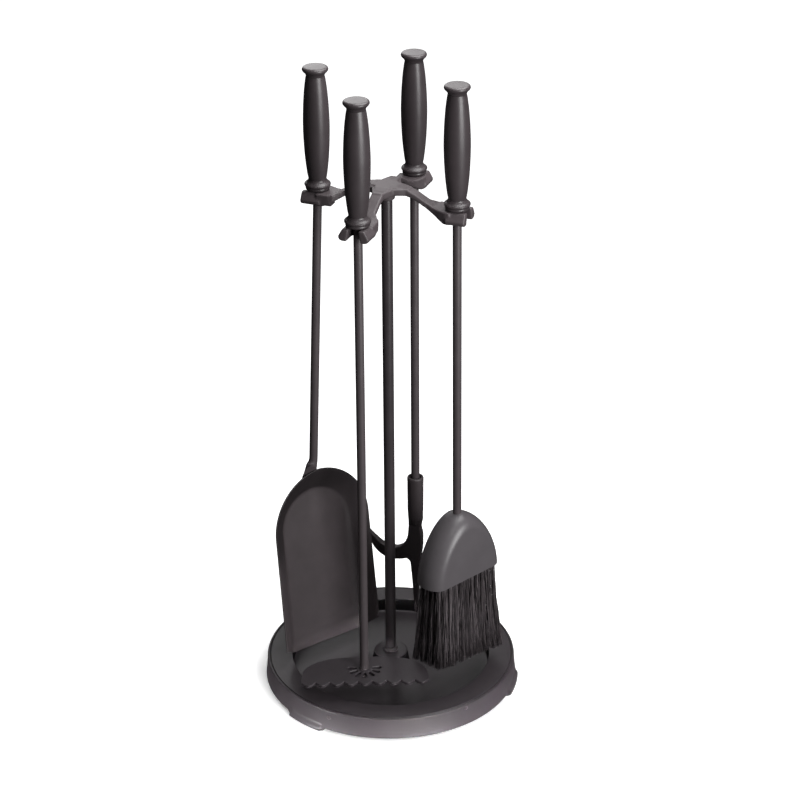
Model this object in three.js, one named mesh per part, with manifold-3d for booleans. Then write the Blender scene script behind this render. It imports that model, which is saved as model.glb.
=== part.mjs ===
// Fireplace tool set: round cast base, post, four-arm crown, and four hanging tools
// (shovel, ash rake, poker, brush). Millimetres, +Z up, origin on the floor under the post.
import * as THREE from 'three';
import { mergeVertices } from 'three/addons/utils/BufferGeometryUtils.js';
import Module from 'manifold-3d';

const wasm = await Module();
wasm.setup();

// ---- driving dimensions -------------------------------------------------------------
const GAP = 0.3;                  // clearance left between touching pieces
const TOOL_CIRCLE = 77.7;         // post axis to each hanging tool
const OVERALL_Z = 711.5;          // top of the handle caps

const BASE_R = 139;               // rim radius at the top
const BASE_FOOT_R = 141.6;        // rim radius at the floor, the wall has draft
const BASE_TOP_Z = 27.5;
const BASE_WALL_LIFT = 3.5;       // the wall clears the floor between the feet
const FOOT_ANGLES = [-110.4, 9.6, 129.6];
const FOOT_HALF_SPAN = 10.6;      // degrees
const FOOT_PAD_R = 144.4;         // the feet stand a little proud of the wall
const RECESS_R = 110.7;
const RECESS_Z = 12;
const BASE_SHELL = 4.5;           // casting thickness
const HUB_TOP_R = 18.6;
const HUB_ROOT_R = 21.5;
const HUB_TOP_Z = 29;

const POST_R = 5.95;
const STUD_R = 3.6;               // threaded ends of the post
const CROWN_UNDER_Z = 578;        // seat of the crown on the post
const CROWN_TOP_Z = 594.5;
const CROWN_WEB_Z = 586.4;        // underside of the arms next to the post
const ARM_HALF_WIDTH = 6.3;
const FORK_ROOT_R = 64;
const FORK_TIP_R = 91;
const FORK_TOP_Z = 577.3;
const FORK_BOTTOM_Z = 564.3;
const FORK_TOP_HALF = 12.6;       // the prongs lean out like an upside-down V
const FORK_BOTTOM_HALF = 16.7;
const SLOT_TOP_HALF = 5.9;
const SLOT_BOTTOM_HALF = 8.6;

const ROD_R = 4.75;
const TANG_R = 3;                 // thin end of the rod, inside the handle
const COLLAR_BOTTOM_Z = 577.8;
const COLLAR_TOP_Z = 589.2;
const GRIP_TOP_Z = 701.8;
const TANG_TOP_Z = 706.5;

const ROUND_SEGMENTS = 20;
const BASE_SEGMENTS = 64;

// ---- helpers ------------------------------------------------------------------------
const rad = THREE.MathUtils.degToRad;
const vec = (x, y, z) => new THREE.Vector3(x, y, z);

// Booleans: three.js geometry in, three.js geometry out.
function toSolid(geometry) {
  const bare = geometry.clone();
  bare.deleteAttribute('normal');
  bare.deleteAttribute('uv');
  const merged = mergeVertices(bare, 1e-4);
  const corners = merged.index.array;
  const triVerts = [];
  for (let i = 0; i < corners.length; i += 3) {
    const [a, b, c] = [corners[i], corners[i + 1], corners[i + 2]];
    if (a !== b && b !== c && c !== a) triVerts.push(a, b, c);
  }
  return new wasm.Manifold(new wasm.Mesh({
    numProp: 3,
    vertProperties: new Float32Array(merged.attributes.position.array),
    triVerts: new Uint32Array(triVerts),
  }));
}

function toGeometry(solid) {
  const { vertProperties, triVerts } = solid.getMesh();
  const indexed = new THREE.BufferGeometry();
  indexed.setAttribute('position', new THREE.BufferAttribute(vertProperties, 3));
  indexed.setIndex(new THREE.BufferAttribute(triVerts, 1));
  return indexed.toNonIndexed();
}

const combine = (operation, [first, ...others]) => toGeometry(
  others.reduce((solid, other) => solid[operation](toSolid(other)), toSolid(first)),
);
const join = (...shapes) => combine('add', shapes);
const cut = (...shapes) => combine('subtract', shapes);
const common = (...shapes) => combine('intersect', shapes);

function areaOf(outline) {
  return outline.reduce((sum, [x0, y0], i) => {
    const [x1, y1] = outline[(i + 1) % outline.length];
    return sum + x0 * y1 - x1 * y0;
  }, 0);
}

// Outlines may be written either way round.
const ccw = (outline) => (areaOf(outline) < 0 ? [...outline].reverse() : outline);

// Solid of revolution about +Z from a closed outline of [radius, z] points.
function lathe(outline, segments = ROUND_SEGMENTS) {
  const loop = ccw(outline);
  const points = [...loop, loop[0]].map(([r, z]) => new THREE.Vector2(r, z));
  return new THREE.LatheGeometry(points, segments).rotateX(Math.PI / 2);
}

function shapeOf(outline) {
  return new THREE.Shape(ccw(outline).map(([x, y]) => new THREE.Vector2(x, y)));
}

// Prism from an [x, y] outline, from z0 to z1, with optional [x, y] holes.
function prism(outline, z0, z1, holes = []) {
  const shape = shapeOf(outline);
  shape.holes = holes.map(shapeOf);
  const options = { depth: z1 - z0, bevelEnabled: false };
  return new THREE.ExtrudeGeometry(shape, options).translate(0, 0, z0);
}

// Prism whose outline is drawn in [x, z] and which runs from y0 to y1.
function sidePrism(outline, y0, y1) {
  return prism(outline, 0, y1 - y0).rotateX(Math.PI / 2).translate(0, y1, 0);
}

// Prism whose outline is drawn in [y, z] and which runs from x0 to x1.
function endPrism(outline, x0, x1) {
  const turn = new THREE.Matrix4().makeBasis(vec(0, 1, 0), vec(0, 0, 1), vec(1, 0, 0));
  return prism(outline, x0, x1).applyMatrix4(turn);
}

// Upright cylinder or cone from z0 to z1.
function rod(radiusLow, radiusHigh, z0, z1, segments = ROUND_SEGMENTS) {
  return new THREE.CylinderGeometry(radiusHigh, radiusLow, z1 - z0, segments)
    .rotateX(Math.PI / 2).translate(0, 0, (z0 + z1) / 2);
}

// Solid through a list of equal-length rings of points, with flat convex ends.
function loft(rings) {
  const count = rings[0].length;
  const corners = [];
  for (let k = 1; k < rings.length; k += 1) {
    const [low, high] = [rings[k - 1], rings[k]];
    for (let i = 0; i < count; i += 1) {
      const j = (i + 1) % count;
      corners.push(low[i], low[j], high[j], low[i], high[j], high[i]);
    }
  }
  const [first, last] = [rings[0], rings[rings.length - 1]];
  for (let i = 2; i < count; i += 1) {
    corners.push(first[0], first[i], first[i - 1], last[0], last[i - 1], last[i]);
  }
  const geometry = new THREE.BufferGeometry().setFromPoints(corners);
  geometry.computeVertexNormals();
  return geometry;
}

function hexNut(acrossFlats, boreR, z0, z1) {
  const corner = acrossFlats / Math.sqrt(3);
  return cut(rod(corner, corner, z0, z1, 6), rod(boreR, boreR, z0 - 1, z1 + 1));
}

// ---- base ---------------------------------------------------------------------------
function baseCasting() {
  const innerR = BASE_FOOT_R - 6;
  const body = lathe([
    [BASE_FOOT_R, 0],
    [BASE_R + 0.3, BASE_TOP_Z - 2.4],
    [BASE_R - 0.4, BASE_TOP_Z - 0.7],
    [BASE_R - 2, BASE_TOP_Z],
    [RECESS_R + 0.8, BASE_TOP_Z],
    [RECESS_R, BASE_TOP_Z - 0.8],
    [RECESS_R - 0.4, RECESS_Z + 1.6],
    [RECESS_R - 2.2, RECESS_Z],
    [HUB_ROOT_R + 1.6, RECESS_Z],
    [HUB_ROOT_R, RECESS_Z + 1.6],
    [HUB_TOP_R, HUB_TOP_Z - 1.2],
    [HUB_TOP_R - 1.2, HUB_TOP_Z],
    [STUD_R + GAP, HUB_TOP_Z],
    [STUD_R + GAP, 20],
    [15, 20],
    [15.6, RECESS_Z - BASE_SHELL],
    [RECESS_R + 4.2, RECESS_Z - BASE_SHELL],
    [RECESS_R + 4.2, BASE_TOP_Z - BASE_SHELL],
    [innerR - 1.6, BASE_TOP_Z - BASE_SHELL],
    [innerR, 0],
  ], BASE_SEGMENTS);
  // lift the wall off the floor everywhere but at the three feet
  const clearances = FOOT_ANGLES.map((angle) => {
    const start = rad(angle + FOOT_HALF_SPAN);
    const end = rad(angle + 120 - FOOT_HALF_SPAN);
    const sector = new THREE.Shape();
    sector.absarc(0, 0, 160, start, end, false);
    sector.absarc(0, 0, 125, end, start, true);
    const options = { depth: BASE_WALL_LIFT + 1, bevelEnabled: false, curveSegments: 14 };
    return new THREE.ExtrudeGeometry(sector, options).translate(0, 0, -1);
  });
  // a pad's plan as [degrees from the foot's middle, radius], with rounded outer corners
  const padHalf = FOOT_HALF_SPAN - 0.3;
  const padRootR = BASE_FOOT_R - 4;
  const padEdge = [
    [-padHalf, padRootR], [-padHalf, FOOT_PAD_R - 1.4], [-padHalf + 0.5, FOOT_PAD_R - 0.4],
    [-padHalf + 1.4, FOOT_PAD_R], [-padHalf / 2, FOOT_PAD_R], [0, FOOT_PAD_R],
    [padHalf / 2, FOOT_PAD_R], [padHalf - 1.4, FOOT_PAD_R], [padHalf - 0.5, FOOT_PAD_R - 0.4],
    [padHalf, FOOT_PAD_R - 1.4], [padHalf, padRootR], [padHalf / 2, padRootR], [0, padRootR],
    [-padHalf / 2, padRootR],
  ];
  const pads = FOOT_ANGLES.map((angle) => prism(padEdge.map(([turn, r]) => [
    r * Math.cos(rad(angle + turn)), r * Math.sin(rad(angle + turn)),
  ]), 0, BASE_WALL_LIFT));
  return join(cut(body, ...clearances), ...pads);
}

// ---- post ---------------------------------------------------------------------------
const POST_BOTTOM_Z = HUB_TOP_Z + GAP;
const POST_TOP_Z = CROWN_UNDER_Z - GAP;
const BUSH_HEIGHT = 4;

function post() {
  return lathe([
    [0, 9.5],
    [STUD_R, 9.5],
    [STUD_R, POST_BOTTOM_Z],
    [POST_R - 0.6, POST_BOTTOM_Z],
    [POST_R, POST_BOTTOM_Z + 0.6],
    [POST_R, POST_TOP_Z - 0.6],
    [POST_R - 0.6, POST_TOP_Z],
    [STUD_R, POST_TOP_Z],
    [STUD_R, CROWN_UNDER_Z + 12],
    [0, CROWN_UNDER_Z + 12],
  ]);
}

function footBush() {
  return lathe([
    [POST_R + GAP, POST_BOTTOM_Z],
    [POST_R + 1.7, POST_BOTTOM_Z],
    [POST_R + 2.1, POST_BOTTOM_Z + 0.9],
    [POST_R + 2.1, POST_BOTTOM_Z + BUSH_HEIGHT - 1.2],
    [POST_R + 1.2, POST_BOTTOM_Z + BUSH_HEIGHT],
    [POST_R + GAP, POST_BOTTOM_Z + BUSH_HEIGHT],
  ]);
}

// ---- crown --------------------------------------------------------------------------
// One arm along +X: a side outline cut to a plan outline, then the two-prong fork.
function crownArm() {
  const side = sidePrism([
    [-4, CROWN_TOP_Z], [13, CROWN_TOP_Z], [20, CROWN_TOP_Z - 0.9], [27, CROWN_TOP_Z - 2.9],
    [34, CROWN_TOP_Z - 6.1], [44, CROWN_TOP_Z - 11.8], [54, FORK_TOP_Z + 0.6],
    [60, FORK_TOP_Z], [74, FORK_TOP_Z], [74, FORK_BOTTOM_Z], [67, FORK_BOTTOM_Z],
    [61, FORK_BOTTOM_Z + 3], [52, CROWN_WEB_Z - 14.4], [42, CROWN_WEB_Z - 8.8],
    [32, CROWN_WEB_Z - 3], [24, CROWN_WEB_Z - 0.6], [12, CROWN_WEB_Z], [-4, CROWN_WEB_Z],
  ], -20, 20);
  // the fork block swells out sooner on its anticlockwise side (+y) than on the other
  const plan = prism([
    [-4, 9], [9, 9], [13, 8], [20, ARM_HALF_WIDTH], [46, ARM_HALF_WIDTH], [51, 9.5],
    [56, 13.6], [61, 14.8], [74, 15], [74, -15], [69, -14.4], [63, -12], [56, -8.6],
    [47, -ARM_HALF_WIDTH], [20, -ARM_HALF_WIDTH], [13, -8], [9, -9], [-4, -9],
  ], FORK_BOTTOM_Z - 5, CROWN_TOP_Z + 5);
  const forkEdge = [
    [FORK_TOP_HALF - 1.2, FORK_TOP_Z], [FORK_TOP_HALF, FORK_TOP_Z - 1],
    [FORK_BOTTOM_HALF, FORK_BOTTOM_Z + 4.5], [FORK_BOTTOM_HALF - 1, FORK_BOTTOM_Z + 1.4],
    [FORK_BOTTOM_HALF - 4, FORK_BOTTOM_Z],
  ];
  const mirrored = forkEdge.map(([y, z]) => [-y, z]).reverse();
  const fork = endPrism([...forkEdge, ...mirrored], FORK_ROOT_R + 6, FORK_TIP_R);
  const shoulder = endPrism(
    [[0, FORK_TOP_Z], ...forkEdge.map(([y, z]) => [y - 2, z]), [0, FORK_BOTTOM_Z]],
    FORK_ROOT_R - 6,
    FORK_ROOT_R + 7,
  );
  const slot = endPrism([
    [-SLOT_TOP_HALF, FORK_TOP_Z + 4], [SLOT_TOP_HALF, FORK_TOP_Z + 4],
    [SLOT_TOP_HALF, FORK_TOP_Z - 3], [SLOT_BOTTOM_HALF, FORK_BOTTOM_Z - 3],
    [-SLOT_BOTTOM_HALF, FORK_BOTTOM_Z - 3], [-SLOT_TOP_HALF, FORK_TOP_Z - 3],
  ], TOOL_CIRCLE, FORK_TIP_R + 10);
  const slotEnd = rod(SLOT_BOTTOM_HALF, SLOT_TOP_HALF, FORK_BOTTOM_Z - 8, FORK_TOP_Z + 9)
    .translate(TOOL_CIRCLE, 0, 0);
  return cut(join(common(side, plan), fork, shoulder), slot, slotEnd);
}

function crown() {
  // gusset outline of one quarter, from the arm along +X to the arm along +Y
  const quarter = [[26, 0], [26, 5], [17, 9.5], [11.5, 11.5], [9.5, 17], [5, 26]];
  const outline = [0, 1, 2, 3].flatMap((turn) => quarter.map(([x, y]) => {
    const point = new THREE.Vector2(x, y).rotateAround(new THREE.Vector2(), rad(90 * turn));
    return [point.x, point.y];
  }));
  const web = prism(outline, CROWN_WEB_Z, CROWN_TOP_Z - 1.6);
  const boss = rod(8.4, 10, CROWN_UNDER_Z, CROWN_UNDER_Z + 12);
  const arms = [0, 90, 180, 270].map((angle) => crownArm().rotateZ(rad(angle)));
  const bore = rod(STUD_R + GAP, STUD_R + GAP, CROWN_UNDER_Z - 0.5, CROWN_UNDER_Z + 12.5);
  return cut(join(web, boss, ...arms), bore);
}

// ---- handle, shared by the four tools -------------------------------------------------
// [radius, z] of the grip from collar to cap: slim ends, widest a little above the middle
const GRIP_OUTLINE = [
  [9.4, 589.5], [10.3, 593], [11.1, 600], [12.3, 610], [13.1, 621], [13.7, 634],
  [13.9, 648], [13.4, 666], [12.7, 678], [11.8, 688], [10.8, 697], [9.6, 701.5],
];
const HANDLE_BORE = TANG_R + GAP;

function grip() {
  return lathe([[HANDLE_BORE, 589.5], ...GRIP_OUTLINE, [HANDLE_BORE, 701.5]]);
}

function collar() {
  return lathe([
    [HANDLE_BORE, COLLAR_BOTTOM_Z], [11.6, COLLAR_BOTTOM_Z], [12.6, 579.2], [12.2, 581.6],
    [13.7, 582.8], [13.8, 584], [12.4, 585.4], [10.6, 587.2], [9.7, COLLAR_TOP_Z],
    [HANDLE_BORE, COLLAR_TOP_Z],
  ]);
}

function endCap() {
  return lathe([
    [HANDLE_BORE, GRIP_TOP_Z], [9.7, GRIP_TOP_Z], [10.2, 703.6], [12.2, 706], [13.5, 707.6],
    [13.6, 709], [12.7, 710.6], [11, 711.3], [0, OVERALL_Z], [0, TANG_TOP_Z + GAP],
    [HANDLE_BORE, TANG_TOP_Z + GAP],
  ]);
}

const TANG = [[TANG_R, COLLAR_BOTTOM_Z - GAP], [TANG_R, TANG_TOP_Z], [0, TANG_TOP_Z]];

// ---- shovel ---------------------------------------------------------------------------
// The pan hangs lip down and opens toward its front; the shaft swings back from plumb.
const PAN_HEADING = 64.4;         // degrees from +X to the pan's width direction
const PAN_TILT = 11.5;            // lip swings toward the open side
const PAN_ROLL = -4.2;            // slight lean in the pan's own plane
const PAN_ORIGIN = vec(-94.6, 8.1, 169);  // centre of the arch on the floor sheet
const PAN_HALF_WIDTH = 46.8;
const PAN_ARCH_RATIO = 0.88;
const PAN_LENGTH = 140.2;         // arch centre to lip
const PAN_FLARE = 1.2;            // the floor widens by this much at the lip, each side
const PAN_SHEET = 1.8;
const PAN_FOLD = 11;              // size of the rounded fold between floor and wall
const SIDE_WALL = { out: 20.6, rise: 15.6 };
const BACK_WALL = { out: 25.4, rise: 16.8 };
const WALL_CUT_BACK = 10.5;       // side walls stop short of the lip
const SHAFT_SWING = 17.6;         // shaft offset from plumb at SHAFT_SWING_Z
const SHAFT_SWING_Z = 250;

function panAxes() {
  const heading = rad(PAN_HEADING);
  const level = vec(Math.cos(heading), Math.sin(heading), 0);
  const front = vec(Math.sin(heading), -Math.cos(heading), 0);
  const up = vec(0, 0, 1).applyAxisAngle(level, -rad(PAN_TILT));
  const out = front.clone().applyAxisAngle(level, -rad(PAN_TILT));
  const across = level.clone().applyAxisAngle(out, rad(PAN_ROLL));
  up.applyAxisAngle(out, rad(PAN_ROLL));
  return { across, up, out, front };
}

// Junction of floor and wall, and the wall's free edge; t runs 0 (left lip) to 1 (right lip).
const PAN_SIDE_SHARE = 0.2;       // share of t spent on each straight side
function panContour(t) {
  const side = (u, sign) => {
    const y = -PAN_LENGTH * (1 - u);
    const half = PAN_HALF_WIDTH + PAN_FLARE * (1 - u);
    const edgeY = y + WALL_CUT_BACK * (1 - u);
    return {
      fold: vec(sign * half, y, 0),
      edge: vec(sign * (half + SIDE_WALL.out), edgeY, SIDE_WALL.rise),
      spine: vec(0, y, 0),
    };
  };
  if (t <= PAN_SIDE_SHARE) return side(t / PAN_SIDE_SHARE, -1);
  if (t >= 1 - PAN_SIDE_SHARE) return side((1 - t) / PAN_SIDE_SHARE, 1);
  const angle = Math.PI * (1 - (t - PAN_SIDE_SHARE) / (1 - 2 * PAN_SIDE_SHARE));
  const [c, s] = [Math.cos(angle), Math.sin(angle)];
  const sideways = Math.abs(c);
  const out = THREE.MathUtils.lerp(BACK_WALL.out, SIDE_WALL.out, sideways);
  const rise = THREE.MathUtils.lerp(BACK_WALL.rise, SIDE_WALL.rise, sideways);
  const archHeight = PAN_HALF_WIDTH * PAN_ARCH_RATIO;
  return {
    fold: vec(PAN_HALF_WIDTH * c, archHeight * s, 0),
    edge: vec((PAN_HALF_WIDTH + out) * c, (archHeight + out) * s, rise),
    spine: vec(0, 0.55 * archHeight * s, 0),
  };
}

// Middle of the sheet; s runs 0 (spine), 1 (start of fold), 2 (end of fold), 3 (edge).
function panPoint(t, s) {
  const { fold, edge, spine } = panContour(t);
  const toward = (target, k) => fold.clone().lerp(target, k);
  const foldIn = toward(spine, PAN_FOLD / fold.distanceTo(spine));
  const foldOut = toward(edge, PAN_FOLD / fold.distanceTo(edge));
  if (s <= 1) return spine.lerp(foldIn, s);
  if (s >= 2) return foldOut.lerp(edge, s - 2);
  const k = s - 1;
  return foldIn.lerp(fold, k).lerp(fold.clone().lerp(foldOut, k), k);
}

function panNormal(t, s) {
  if (s <= 1) return vec(0, 0, 1);
  const d = 1e-3;
  const along = panPoint(Math.min(t + d, 1), s).sub(panPoint(Math.max(t - d, 0), s));
  const outward = panPoint(t, s + d).sub(panPoint(t, s - d));
  const normal = outward.cross(along).normalize();
  return normal.z < 0 ? normal.negate() : normal;
}

const PAN_ROWS = 15;              // rows from the lip to the top of the arch
const PAN_STATIONS = [0, 0.6, 1, 1.5, 2, 3];
function shovelPan() {
  // each row crosses the pan from the left edge, over the spine, to the right edge
  const crossing = [
    ...[...PAN_STATIONS].reverse().map((s) => ({ mirror: false, s })),
    ...PAN_STATIONS.slice(1).map((s) => ({ mirror: true, s })),
  ];
  const face = (offset) => {
    const rows = [];
    for (let i = 0; i <= PAN_ROWS; i += 1) {
      const left = (0.5 * i) / PAN_ROWS;
      rows.push(crossing.map(({ mirror, s }) => {
        const t = mirror && i < PAN_ROWS ? 1 - left : left;
        return panPoint(t, s).addScaledVector(panNormal(t, s), offset);
      }));
    }
    return rows;
  };
  const top = face(PAN_SHEET / 2);
  const under = face(-PAN_SHEET / 2);
  const corners = [];
  const quad = (a, b, c, d) => corners.push(a, b, c, a, c, d);
  const last = crossing.length - 1;
  for (let i = 0; i < PAN_ROWS; i += 1) {
    const [a, b, c, d] = [top[i], top[i + 1], under[i], under[i + 1]];
    for (let j = 0; j < last; j += 1) {
      quad(a[j], a[j + 1], b[j + 1], b[j]);
      quad(c[j + 1], c[j], d[j], d[j + 1]);
    }
    quad(a[0], b[0], d[0], c[0]);
    quad(b[last], a[last], c[last], d[last]);
  }
  for (let j = 0; j < last; j += 1) {
    quad(under[0][j], under[0][j + 1], top[0][j + 1], top[0][j]);
  }
  return toGeometry(toSolid(new THREE.BufferGeometry().setFromPoints(corners)));
}

function shovelShaft() {
  const { across, up, out, front } = panAxes();
  const tilt = Math.atan2(SHAFT_SWING, COLLAR_BOTTOM_Z - SHAFT_SWING_Z);
  const length = 372;             // runs into the back wall, then trimmed to it
  const side = vec(front.y, -front.x, 0);
  const axis = vec(0, 0, 1).applyAxisAngle(side, -tilt);
  const shaft = lathe([
    [0, -length], [6.8, -length], [6.8, -length + 20], [5.6, -length + 25],
    [ROD_R, -length + 32], [ROD_R, -GAP], [0, -GAP],
  ]).applyMatrix4(new THREE.Matrix4().makeBasis(side, axis.clone().cross(side), axis));
  const placed = shaft.translate(-TOOL_CIRCLE, 0, COLLAR_BOTTOM_Z);
  // block whose top face lies just outside the middle of the pan's back wall
  const wallUp = up.clone().multiplyScalar(BACK_WALL.out)
    .addScaledVector(out, BACK_WALL.rise).normalize();
  const wallNormal = wallUp.clone().cross(across).normalize();
  const foot = PAN_ORIGIN.clone().addScaledVector(up, PAN_HALF_WIDTH * PAN_ARCH_RATIO)
    .addScaledVector(wallNormal, PAN_SHEET / 2 + GAP - 50);
  const block = new THREE.BoxGeometry(200, 200, 100).applyMatrix4(
    new THREE.Matrix4().makeBasis(across, wallUp, across.clone().cross(wallUp)).setPosition(foot),
  );
  return cut(placed, block);
}

// Upright stud that holds the shovel's collar, grip and cap; the shaft below it slopes.
function shovelStud() {
  return lathe([[0, 0], [TANG_R, 0], [TANG_R, TANG_TOP_Z - COLLAR_BOTTOM_Z],
    [0, TANG_TOP_Z - COLLAR_BOTTOM_Z]]).translate(-TOOL_CIRCLE, 0, COLLAR_BOTTOM_Z);
}

// ---- ash rake ---------------------------------------------------------------------------
const RAKE_HEADING = 24.9;        // degrees from +X to the toothed edge
const RAKE_HALF_LENGTH = 70;
const RAKE_DEPTH = 48.9;
const RAKE_EDGE_OFFSET = 31.7;    // rod axis to the tips of the teeth
const RAKE_TOP_Z = 50;
const RAKE_THICK = 3.6;
const RAKE_TEETH = 9;
const TOOTH_HEIGHT = 6.3;
const TOOTH_FULLNESS = 0.65;      // below 1 the teeth are fuller and the notches narrower
const RAKE_POWER = 2.9;           // squareness of the curved back edge
const SLOT_COUNT = 7;
const SLOT_STEP = 31;             // degrees between the sunburst slots

// Plate outline with the rod at the origin and the toothed edge toward -Y.
function rakeOutline() {
  const rootY = TOOTH_HEIGHT - RAKE_EDGE_OFFSET;
  const outline = [];
  const steps = 24;
  for (let i = 0; i <= steps; i += 1) {
    const a = (Math.PI * i) / steps;
    const reach = Math.abs(Math.cos(a)) ** (2 / RAKE_POWER);
    const x = RAKE_HALF_LENGTH * Math.sign(Math.cos(a)) * reach;
    outline.push([x, rootY + RAKE_DEPTH * Math.abs(Math.sin(a)) ** (2 / RAKE_POWER)]);
  }
  // wavy edge: rounded teeth with V-shaped notches between them
  const toothSteps = 8;
  for (let i = 1; i < RAKE_TEETH * toothSteps; i += 1) {
    const turn = (2 * Math.PI * i) / toothSteps;
    outline.push([
      RAKE_HALF_LENGTH * ((2 * i) / (RAKE_TEETH * toothSteps) - 1),
      rootY - TOOTH_HEIGHT * (0.5 - 0.5 * Math.cos(turn)) ** TOOTH_FULLNESS,
    ]);
  }
  return outline;
}

function rakeBlade() {
  const slot = [[9, -1.1], [17.3, -1.9], [18.8, 0], [17.3, 1.9], [9, 1.1], [8.2, 0]];
  const centre = new THREE.Vector2();
  const holes = [];
  for (let k = 0; k < SLOT_COUNT; k += 1) {
    const angle = rad(-90 + SLOT_STEP * (k - (SLOT_COUNT - 1) / 2));
    holes.push(slot.map(([x, y]) => {
      const point = new THREE.Vector2(x, y).rotateAround(centre, angle);
      return [point.x, point.y];
    }));
  }
  const bore = [];
  for (let i = 0; i < 16; i += 1) {
    const a = (2 * Math.PI * i) / 16;
    bore.push([(TANG_R + GAP) * Math.cos(a), (TANG_R + GAP) * Math.sin(a)]);
  }
  return prism(rakeOutline(), RAKE_TOP_Z - RAKE_THICK, RAKE_TOP_Z, [...holes, bore]);
}

function rakeShaft() {
  const tail = RAKE_TOP_Z - RAKE_THICK - 6.5;
  return lathe([
    [0, tail], [TANG_R, tail], [TANG_R, RAKE_TOP_Z + GAP], [ROD_R, RAKE_TOP_Z + GAP],
    [ROD_R, COLLAR_BOTTOM_Z - GAP], ...TANG,
  ]);
}

function rakeNut() {
  const top = RAKE_TOP_Z - RAKE_THICK - GAP;
  return hexNut(10, TANG_R + GAP, top - 5, top);
}

// ---- poker --------------------------------------------------------------------------------
const SOCKET_R = 9.2;
const SOCKET_TOP_Z = 212;
const SOCKET_DEPTH = 34;
const HOOK_HEADING = 182;         // degrees from +X to the hook's direction
const FORGING_HALF_THICK = 4.6;
// Forged head seen square on: [distance toward the hook, z]
const POKER_OUTLINE = [
  [-7.4, 168], [-8, 158], [-6.2, 148], [-8.2, 138], [-8.2, 125], [-6.6, 110], [-5.2, 92],
  [-3.8, 64], [-2, 42], [0.2, 33], [1.6, 48], [2.6, 70], [4.4, 94], [5.4, 102.4],
  [9.5, 105.9], [15.8, 103.6], [25.3, 101.8], [34.7, 102.8], [43.2, 106.8], [50, 113],
  [55, 121.8], [58.4, 132], [59, 136.6], [56.4, 134.4], [51.6, 129.4], [46.2, 124.4],
  [41.2, 120.2], [36.2, 117.8], [29.5, 116.8], [22.8, 117], [16.2, 120.4], [11.4, 126],
  [8.2, 136], [7.2, 148], [7.4, 168],
];

function pokerHead() {
  const t = FORGING_HALF_THICK;
  const socketFloor = SOCKET_TOP_Z - SOCKET_DEPTH;
  const socket = lathe([
    [0, 152], [6.2, 152], [8.4, 160], [SOCKET_R - 0.2, 170], [SOCKET_R, SOCKET_TOP_Z - 8],
    [SOCKET_R + 0.2, SOCKET_TOP_Z - 1.2], [SOCKET_R - 0.6, SOCKET_TOP_Z],
    [7.4, SOCKET_TOP_Z], [6.8, SOCKET_TOP_Z - 4], [ROD_R + GAP, SOCKET_TOP_Z - 5],
    [ROD_R + GAP, socketFloor], [0, socketFloor],
  ]);
  const flat = sidePrism(POKER_OUTLINE, -t, t);
  // thin the spike toward its point, and the hook toward its tip
  const spike = common(flat, endPrism([
    [-2.2, 20], [2.2, 20], [t, 100], [t, 200], [-t, 200], [-t, 100],
  ], -20, 24));
  const hook = common(flat, prism([
    [24, -t], [40, -4.2], [60, -2], [60, 2], [40, 4.2], [24, t], [23.9, t], [23.9, -t],
  ], 20, 200));
  return join(socket, spike, hook).rotateZ(rad(HOOK_HEADING));
}

function plainShaft(bottomZ) {
  return lathe([
    [0, bottomZ], [ROD_R, bottomZ], [ROD_R, COLLAR_BOTTOM_Z - GAP], ...TANG,
  ]);
}

// ---- brush ----------------------------------------------------------------------------------
const BRUSH_HEADING = 65;         // degrees from +X to the head's width direction
const HEAD_FACE_HALF = 38;        // half width of the two flat faces
const HEAD_END_BULGE = 14;        // the ends round out past the faces
const HEAD_HALF_THICK = 19.4;
const HEAD_BOTTOM_Z = 147.5;
const HEAD_TOP_Z = 223;
const HEAD_CROWNING = 16;         // the top falls by this much toward the faces
const HEAD_POWER = 1.7;
const HEAD_SHIFT = 0.6;           // the head sits a little to one side of the shaft
const BRUSH_LEAN = 0.25;          // degrees the hanging brush leans from plumb
const POCKET_HALF = { x: 43, y: 16.2 };
const SHAFT_DEPTH = 38;           // length of shaft held in the head
const TUFT_HALF_TOP = { x: 42.3, y: 15.6 };
const TUFT_HALF_BOTTOM = { x: 48.5, y: 20.5 };
const TUFT_BOTTOM_Z = 43;
const TUFT_BOTTOM_SLOPE = -0.08;  // worn lower toward one end
const TUFT_POWER = 4;             // rounded corners in plan

// The head is a half dome between two flat faces.
function headDome() {
  const stations = [-1, -0.94, -0.75, -0.4, 0, 0.4, 0.75, 0.94, 1];
  const steps = 18;
  return loft(stations.map((v) => {
    const roundness = Math.sqrt(1 - v * v);
    const half = HEAD_FACE_HALF + HEAD_END_BULGE * roundness;
    const height = HEAD_TOP_Z - HEAD_BOTTOM_Z - HEAD_CROWNING * (1 - roundness);
    const ring = [];
    for (let i = 0; i <= steps; i += 1) {
      const a = (Math.PI * i) / steps;
      const x = half * Math.sign(Math.cos(a)) * Math.abs(Math.cos(a)) ** (2 / HEAD_POWER);
      const z = HEAD_BOTTOM_Z + height * Math.abs(Math.sin(a)) ** (2 / HEAD_POWER);
      ring.push(vec(x, v * HEAD_HALF_THICK, z));
    }
    return ring.reverse();
  }));
}

const turnBrush = (geometry) => geometry.translate(HEAD_SHIFT, 0, 0)
  .rotateZ(rad(BRUSH_HEADING));

function brushHead() {
  const pocket = new THREE.BoxGeometry(2 * POCKET_HALF.x, 2 * POCKET_HALF.y, 20)
    .translate(0, 0, HEAD_BOTTOM_Z + 6);
  const boreR = ROD_R + GAP;
  const bore = rod(boreR, boreR, HEAD_TOP_Z - SHAFT_DEPTH, HEAD_TOP_Z + 10);
  return cut(turnBrush(cut(headDome(), pocket)), bore);
}

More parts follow.
